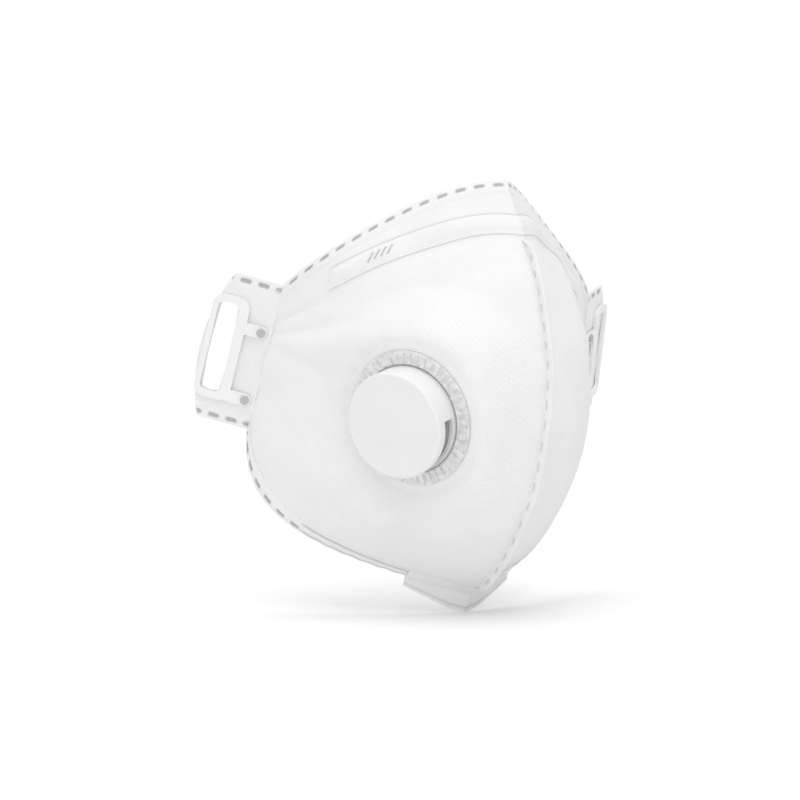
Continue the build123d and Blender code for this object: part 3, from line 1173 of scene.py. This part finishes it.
@dataclass
class LappedBand:
    """A band that lies on the half, such as the clip, the chin tab or the foam.

    Attributes:
        half: The half that it lies on.
        material: Its material.
        name: The piece's name, without its side.
        node: The CAD node that it stands for.
        slot: A slot name, passed on to finish_piece.
        reach: u at its outer end.
        height: How far its edge stands off the half's face.
        thickness: Its thickness.
        crown: How far its middle rises.
        columns: Grid faces along it.
        rows: Grid faces across it.
    """

    half: FabricHalf
    material: bpy.types.Material
    name: str = ""
    node: str = ""
    slot: str = ""
    reach: float = 1.0
    height: float = 0.0
    thickness: float = 1.0
    crown: float = 0.0
    columns: int = 150
    rows: int = 14

    def span(self, u: np.ndarray) -> tuple[np.ndarray, np.ndarray]:
        """The band's lower and upper v at each u."""
        raise NotImplementedError

    def marks(self, s: np.ndarray, t: np.ndarray) -> np.ndarray:
        """How far the band is pressed; a plain band isn't."""
        return np.zeros_like(s)

    def shape(self, s: np.ndarray, t: np.ndarray) -> tuple[np.ndarray, np.ndarray]:
        """Points and normals of the band's outer face.

        Args:
            s: Place along the piece's own grid, from 0 to 1.
            t: Place across the piece's own grid, from 0 to 1.

        Returns:
            The points in millimetres and their outward normals.
        """
        u = s * self.reach
        low, high = self.span(u)
        v = low + (high - low) * t
        points = SHAPE.face(u, v, self.half.side.valved)
        normal = SHAPE.normal(u, v, self.half.side.valved)
        edge = np.minimum(np.minimum(t, 1 - t) * 2.6, (1 - s) * 22)
        top = self.height + self.crown * smooth(edge) - 0.3 * self.marks(s, t)
        relief = self.half.relief(u, np.clip(v, 0, 1))
        return points + normal * (top + relief)[..., None], normal

    def build(self) -> bpy.types.Object:
        """Build the band, closed and dressed, and hide its node.

        Returns:
            The band.
        """
        patch = ClothPatch(
            name=f"{self.name}_{self.half.side.word}",
            columns=self.columns,
            rows=self.rows,
            shape=self.shape,
            thickness=self.thickness,
            cloth=lambda s, t: np.stack([s * self.reach * 100, t * 10.0], -1),
            weld=self.marks,
        )
        return finish_piece(patch.build(self.half.side), self.material, self.slot, self.node)


@dataclass
class NoseClip(LappedBand):
    """One side of the bendable strip across the nose."""

    name: str = "nose_clip_strip"
    node: str = "nose_clip"
    slot: str = "clip_strip"
    reach: float = 0.74
    height: float = 0.45
    thickness: float = 0.5
    crown: float = 0.7
    below_at_nose: float = 13.0
    below_at_end: float = 7.0
    width: float = 8.5
    strokes: int = 4
    stroke_pitch: float = 2.2
    first_stroke: float = 40.0

    def span(self, u: np.ndarray) -> tuple[np.ndarray, np.ndarray]:
        """The strip's lower and upper v, nearer to the rim at its end.

        Args:
            u: Place from the centre seam, 0, to the ear's root, 1.

        Returns:
            The lower v and the upper v.
        """
        start = self.below_at_nose + (self.below_at_end - self.below_at_nose) * u / self.reach
        length = SHAPE.rise(u)
        return 1 - (start + self.width) / length, 1 - start / length

    def marks(self, s: np.ndarray, t: np.ndarray) -> np.ndarray:
        """Slanted press marks on the valve's side, and a line along the upper edge.

        Args:
            s: Place along the piece's own grid, from 0 to 1.
            t: Place across the piece's own grid, from 0 to 1.

        Returns:
            1 where it is fully pressed, 0 where it isn't.
        """
        along, across = s * 62.0, t * self.width
        middle = across - self.width / 2
        strokes = np.zeros_like(s)
        for step in range(self.strokes):
            line = along - (self.first_stroke + self.stroke_pitch * step) + middle * 0.55
            inside = smooth((1.9 - np.abs(middle)) / 0.5)
            strokes = np.maximum(strokes, smooth((0.55 - np.abs(line)) / 0.35) * inside)
        edge = 0.5 * smooth((0.5 - np.abs(across - self.width + 0.7)) / 0.4)
        return np.maximum(strokes if self.half.side.valved else 0, edge)

    def build(self) -> bpy.types.Object:
        """Build the strip and bake its transform.

        Returns:
            The strip.
        """
        piece = super().build()
        self.half.bend(piece)
        return piece


@dataclass
class NoseFoam(LappedBand):
    """One side of the foam behind the nose clip."""

    name: str = "nose_foam_pad"
    node: str = "nose_foam"
    slot: str = "nose_foam"
    reach: float = 0.70
    height: float = -3.0
    thickness: float = 2.6
    below: float = 1.5
    width: float = 12.0

    def span(self, u: np.ndarray) -> tuple[np.ndarray, np.ndarray]:
        """The foam's lower and upper v."""
        length = SHAPE.rise(u)
        return 1 - (self.below + self.width) / length, 1 - self.below / length

    def build(self) -> bpy.types.Object:
        """Build the foam and bake its transform.

        Returns:
            The foam.
        """
        piece = super().build()
        self.half.bend(piece)
        return piece


@dataclass
class ChinTab(LappedBand):
    """One side of the chin tab, lapped over the cover."""

    name: str = "chin_tab_cloth"
    node: str = "chin_tab"
    slot: str = "spunbond_white"
    reach: float = 0.22
    height: float = 0.45
    thickness: float = 0.6
    crown: float = 0.35
    columns: int = 60
    rows: int = 28
    foot: float = 0.065
    drop: float = 7.0
    side_drop: float = 3.5
    lap: float = 5.0

    def span(self, u: np.ndarray) -> tuple[np.ndarray, np.ndarray]:
        """The tab's lower and upper v. It hangs below the rim and slants up past its foot.

        Args:
            u: Place from the centre seam, 0, to the ear's root, 1.

        Returns:
            The lower v and the upper v.
        """
        slant = np.clip((u - self.foot) / (self.reach - self.foot), 0, 1)
        length = SHAPE.rise(np.clip(u, 0, 1))
        return -(self.drop + (self.side_drop - self.drop) * slant) / length, self.lap / length

    def marks(self, s: np.ndarray, t: np.ndarray) -> np.ndarray:
        """A faint line along the tab's lower hem."""
        return 0.4 * smooth((0.045 - np.abs(t - 0.13)) / 0.03)

    def build(self) -> bpy.types.Object:
        """Build the tab, which rides on the centre.

        Returns:
            The tab.
        """
        piece = super().build()
        on = [f"outer_cover_{self.half.side.word}_cloth"]
        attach(piece, "centre")
        return piece


@dataclass
class Ear:
    """One ear of laminate with its strap slot."""

    half: FabricHalf
    material: bpy.types.Material
    outward: tuple = (-13.5, 9.5, 4.5)
    reach: float = 17.0
    crown: float = 5.2
    corner: float = 3.0
    thickness: float = 1.2
    slot_centre: float = 15.2
    slot_width: float = 7.0
    slot_length: float = 30.0
    slot_corner: float = 2.0
    dashes: DashRow = DashRow(pitch=6.0, length=3.6, width=1.3, inset=1.7)

    def axes(self) -> tuple[np.ndarray, np.ndarray, np.ndarray, np.ndarray, float]:
        """Middle of the root, the axes across, down and out, and the root's length.

        Returns:
            The middle, the three axes and the length in millimetres.
        """
        low, high = np.array(SHAPE.lower[-1], float), np.array(SHAPE.top[-1], float)
        length = float(np.linalg.norm(high - low))
        up = (high - low) / length
        across = np.array(self.outward) - up * (np.array(self.outward) @ up)
        across = across / np.linalg.norm(across)
        return (low + high) / 2, across, -up, np.cross(up, across), length

    def slot_loop(self, share: np.ndarray) -> np.ndarray:
        """Points round the slot, from the upper outer corner, clockwise on the outside.

        Args:
            share: How far round the loop each point is, from 0 to 1.

        Returns:
            The points in millimetres.
        """
        half = np.array([self.slot_width / 2, self.slot_length / 2])
        square = self.square_loop(share, half - self.slot_corner)
        out = square / np.maximum(np.abs(square / (half - self.slot_corner)).max(-1, keepdims=True), 1e-9)
        core = np.clip(out, -(half - self.slot_corner), half - self.slot_corner)
        direction = self.square_loop(share, half) - core
        return core + unit(direction) * self.slot_corner + [self.slot_centre, 0]

    def square_loop(self, share: np.ndarray, half: np.ndarray) -> np.ndarray:
        """Points round a rectangle, a quarter of the shares on each side.

        Args:
            share: How far round the loop each point is, from 0 to 1.
            half: Half the rectangle's sides, in millimetres.

        Returns:
            The points in millimetres.
        """
        corners = np.array([(1, -1), (1, 1), (-1, 1), (-1, -1), (1, -1)]) * half
        place = np.clip(share * 4, 0, 4 - 1e-9)
        first = place.astype(int)
        part = (place - first)[..., None]
        return corners[first] * (1 - part) + corners[first + 1] * part

    def outer_edge(self, part: np.ndarray) -> np.ndarray:
        """Points of the bowed outer edge, from its upper corner to its lower corner.

        Args:
            part: How far along the edge each point is, from 0 to 1.

        Returns:
            The points in millimetres.
        """
        half = self.axes()[4] / 2
        part = np.clip(part, 0, 1)
        bow = np.sin(np.pi * part) ** 0.75 * (self.crown + 0.2)
        straight = (self.reach - self.corner / 2) * (1 - part) + self.reach * part
        return np.stack([straight + bow, -half + 2 * half * part], -1)

    def outline_loop(self, share: np.ndarray) -> np.ndarray:
        """Points round the ear's outline, matched to the slot's sides.

        Args:
            share: How far round the loop each point is, from 0 to 1.

        Returns:
            The points. The outline's corners lie beyond the slot's ends.
        """
        half = self.axes()[4] / 2
        past, turn = 0.1, 0.06
        knots = [0, 0.25, 0.25 + turn, 0.5, 0.75, 1 - turn, 1]
        edge = np.interp(share, knots, [past, 1 - past, 1, 1, 0, 0, past])
        inward = np.interp(share, knots, [0, 0, 0, 1, 1, 0, 0])
        points = self.outer_edge(edge)
        root = np.stack([np.full_like(edge, -0.3), -half + 2 * half * edge], -1)
        return points * (1 - inward[..., None]) + root * inward[..., None]

    def flat_place(self, s: np.ndarray, t: np.ndarray) -> np.ndarray:
        """Points of the flat ear between its slot and its outline."""
        return self.slot_loop(s) * (1 - t[..., None]) + self.outline_loop(s) * t[..., None]

    def press(self, s: np.ndarray, t: np.ndarray) -> np.ndarray:
        """Welds along the ear's top and bottom edges.

        Args:
            s: Place along the piece's own grid, from 0 to 1.
            t: Place across the piece's own grid, from 0 to 1.

        Returns:
            1 where it is fully pressed, 0 where it isn't.
        """
        flat = self.flat_place(s, t)
        half = self.axes()[4] / 2
        return self.dashes.mask(flat[..., 0] + 3.0, half - np.abs(flat[..., 1]))

    def shape(self, s: np.ndarray, t: np.ndarray) -> tuple[np.ndarray, np.ndarray]:
        """Points and normals of the ear's outer face.

        Args:
            s: Place along the piece's own grid, from 0 to 1.
            t: Place across the piece's own grid, from 0 to 1.

        Returns:
            The points in millimetres and their outward normals.
        """
        origin, across, down, out, length = self.axes()
        flat = self.flat_place(s, t)
        from_edge = np.minimum(length / 2 - np.abs(flat[..., 1]), 3.0)
        puff = 0.22 * smooth(from_edge / 2.4) + 0.1 * np.sin(flat[..., 1] * 0.33) * smooth(flat[..., 0] / 4)
        height = puff - 0.2 - 0.4 * self.press(s, t)
        points = origin + flat[..., :1] * across + flat[..., 1:] * down + height[..., None] * out
        return points, np.broadcast_to(out, points.shape).copy()

    def build(self) -> bpy.types.Object:
        """Build the ear and bake its transform.

        Returns:
            The ear.
        """
        side = self.half.side
        patch = ClothPatch(
            name=f"ear_{side.word}_cloth",
            columns=240,
            rows=26,
            shape=self.shape,
            thickness=self.thickness,
            cloth=lambda s, t: self.flat_place(s, t) + 60.0,
            weld=self.press,
            closed=True,
        )
        piece = patch.build(side)
        finish_piece(piece, self.material, "spunbond_white", f"ear_flap_{side.word}")
        origin, across, _, _, length = self.axes()
        mirror = np.array([-side.value, 1, 1])
        start, end = origin * mirror, (origin + across * 2.2) * mirror
        on = [f"outer_cover_{side.word}_cloth"]
        self.half.body
        f"{side.word}_ear"
        tuple(start * MM)
        tuple(end * MM)
        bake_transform(piece)
        return piece


# ---- Carried-over CAD nodes ----------------------------------------------------------------
class HardPieces:
    """The moulded pieces whose CAD shape is right, which only need their finish."""

    finishes = {
        "valve_cap": "cap",
        "valve_seat": "seat",
        "flap_retainer": "seat",
        "valve_flap": "flap",
        "valve_weld_ring": "ring",
        "strap_buckle_right": "buckle",
        "strap_buckle_left": "buckle",
        "buckle_studs_right": "stud",
        "buckle_studs_left": "stud",
    }

    def __init__(self) -> None:
        """Make the finishes."""
        self.materials = {
            "cap": PlasticFinish("valve_cap_plastic", level=0.77, roughness=0.4).make(),
            # The seat and flap retainer are painted darker than white plastic: painted shade inside the
            # valve's exhaust window.
            "seat": PlasticFinish("valve_seat_plastic", level=0.6, roughness=0.5).make(),
            "buckle": PlasticFinish("buckle_plastic", level=0.8, roughness=0.5).make(),
            "stud": PlasticFinish("stud_plastic", level=0.45, roughness=0.5).make(),
            # The flap is grey silicone, made darker still as painted shade inside the exhaust window.
            "flap": SiliconeFinish("flap_silicone").make(),
            "ring": PressedFinish("pressed_ring").make(),
        }

    def dress(self) -> None:
        """Give each node its finish."""
        for node, finish in self.finishes.items():
            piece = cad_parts[node]
            piece.data.materials.clear()
            piece.data.materials.append(self.materials[finish])
            LOG.info("%s: %s", node, finish)


# ---- Studio --------------------------------------------------------------------------------
@dataclass
class Studio:
    """A pale floor, a white surround, soft light from above and the camera."""

    azimuth: float = 31.0
    elevation: float = 2.0
    roll: float = 1.0
    distance: float = 0.7
    lens: float = 90.0
    target: tuple = (0.0, 0.035, -0.005)

    def camera(self) -> None:
        """Add the camera at the wearer's right front, almost level."""
        turn, rise, roll = (math.radians(a) for a in (self.azimuth, self.elevation, self.roll))
        back = Vector((-math.sin(turn) * math.cos(rise), -math.cos(turn) * math.cos(rise), math.sin(rise)))
        up = Vector((math.sin(turn) * math.sin(rise), math.cos(turn) * math.sin(rise), math.cos(rise)))
        right = Vector((math.cos(turn), -math.sin(turn), 0))
        tilted_right = right * math.cos(roll) + up * math.sin(roll)
        tilted_up = up * math.cos(roll) - right * math.sin(roll)
        data = bpy.data.cameras.new("studio_camera")
        data.lens = self.lens
        data.clip_start = 0.01
        camera = bpy.data.objects.new("studio_camera", data)
        turned = Matrix((tilted_right, tilted_up, back)).transposed().to_4x4()
        camera.matrix_world = Matrix.Translation(Vector(self.target) + back * self.distance) @ turned
        bpy.context.scene.collection.objects.link(camera)
        bpy.context.scene.camera = camera

    def area_light(self, name: str, place: tuple, size: float, power: float) -> None:
        """Add a soft square light that looks at the mask.

        Args:
            name: The light's name.
            place: Its place in metres.
            size: Its side in metres.
            power: Its power in watts.
        """
        data = bpy.data.lights.new(name, "AREA")
        data.size, data.energy = size, power
        light = bpy.data.objects.new(name, data)
        light.location = place
        light.rotation_euler = (-Vector(place)).to_track_quat("-Z", "Y").to_euler()
        bpy.context.scene.collection.objects.link(light)

    def overhead_light(self, name: str, toward: tuple, spread: float, strength: float) -> None:
        """Add a wide even light from a direction, with soft shadows.

        Args:
            name: The light's name.
            toward: The direction of the light from the mask.
            spread: The angle it fills, in degrees.
            strength: Its strength in watts per square metre.
        """
        data = bpy.data.lights.new(name, "SUN")
        data.angle, data.energy = math.radians(spread), strength
        light = bpy.data.objects.new(name, data)
        light.rotation_euler = (-Vector(toward)).to_track_quat("-Z", "Y").to_euler()
        bpy.context.scene.collection.objects.link(light)

    def world(self, seen: float, lit: float) -> None:
        """A white surround.

        Args:
            seen: Its brightness to the camera.
            lit: Its brightness as light.
        """
        world = bpy.data.worlds.new("white_surround")
        bpy.context.scene.world = world
        world.use_nodes = True
        bench = NodeBench(world.node_tree)
        to_camera = bench.node("ShaderNodeLightPath", out="Is Camera Ray")
        white = (1, 1, 1, 1)
        light = bench.node("ShaderNodeBackground", {}, {"Color": white, "Strength": lit})
        backdrop = bench.node("ShaderNodeBackground", {}, {"Color": white, "Strength": seen})
        mix = bench.node("ShaderNodeMixShader", {}, {0: to_camera, 1: light, 2: backdrop})
        bench.add("ShaderNodeOutputWorld", {}, {0: mix})

    def floor(self) -> None:
        """Add the pale floor just under the chin tab."""
        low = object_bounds()[0][2]
        bpy.ops.object.select_all(action="DESELECT")
        bpy.ops.mesh.primitive_plane_add(size=12, location=(0, 0, low))
        floor = bpy.context.object
        floor.name = "pale_floor"
        bench = MaterialBench("pale_floor")
        bench.dress(Base_Color=grey(0.95), Roughness=0.9)
        floor.data.materials.append(bench.material)
        floor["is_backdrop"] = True

    def build(self) -> None:
        """Build the whole studio."""
        bpy.context.scene.view_settings.view_transform = "Standard"
        self.camera()
        self.world(seen=1.0, lit=0.62)
        self.overhead_light("top_light", (-0.1, -0.25, 1.0), 75.0, 1.7)
        self.area_light("front_light", (-1.0, -1.4, 0.5), 1.2, 4.0)
        self.floor()


def main() -> None:
    """Build the mask, its finishes and the studio."""
    logging.basicConfig(level=logging.INFO, format="%(message)s")
    cover = NonwovenFinish("spunbond_cover").make()
    lining = NonwovenFinish("soft_lining", level=0.88, bond_pitch=2.2, bond_depth=0.04).make()
    fleece = NonwovenFinish("support_fleece", level=0.84, bond_pitch=3.0, fibre_depth=0.12).make()
    web = NonwovenFinish("filter_web", level=0.9, bond_pitch=2.4, bond_depth=0.03).make()
    strip = NonwovenFinish("clip_cover", level=0.79, bond_depth=0.05).make()
    foam = FoamFinish("nose_foam").make()
    CentreSeam(cover).build()
    for side in Side:
        half = FabricHalf(side, cover, lining, fleece, web)
        half.build()
        Ear(half, cover).build()
        NoseClip(half, strip).build()
        NoseFoam(half, foam).build()
        ChinTab(half, cover).build()
    HardPieces().dress()
    Studio().build()


if __name__ == "__main__":
    main()
